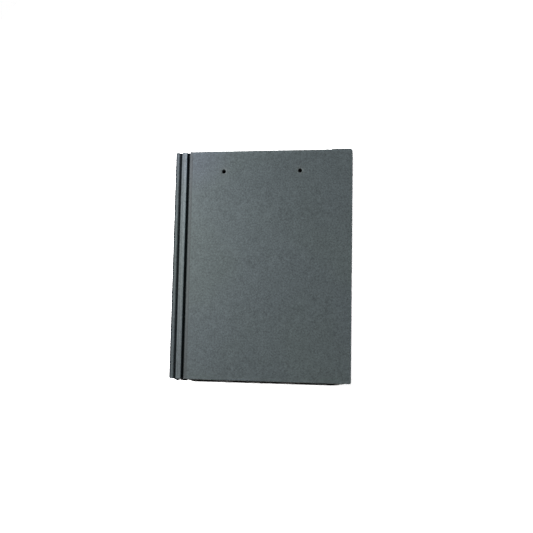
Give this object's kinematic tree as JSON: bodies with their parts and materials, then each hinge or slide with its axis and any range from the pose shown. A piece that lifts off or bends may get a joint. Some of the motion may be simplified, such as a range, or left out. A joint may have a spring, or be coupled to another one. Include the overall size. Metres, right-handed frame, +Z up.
{
  "type": "interlocking roof tile",
  "caption": "Flat interlocking concrete roof tile with a channelled side lock, a covering flap, nail holes and batten nibs, to shed rain on a pitched roof",
  "frame": {"origin": "bottom centre of the bounding box, on the level floor that the tile's nibs and the lower edge of its tail rest on", "axes": "+Y runs from the tail to the head, +Z up out of the weathered face, +X towards the covering flap"},
  "size_m": [0.33, 0.4204, 0.0347],
  "materials": {
    "concrete": "matte grey concrete with a fine sanded grain"
  },
  "bodies": {
    "root": {"roof_tile": "concrete"}
  },
  "joints": []
}
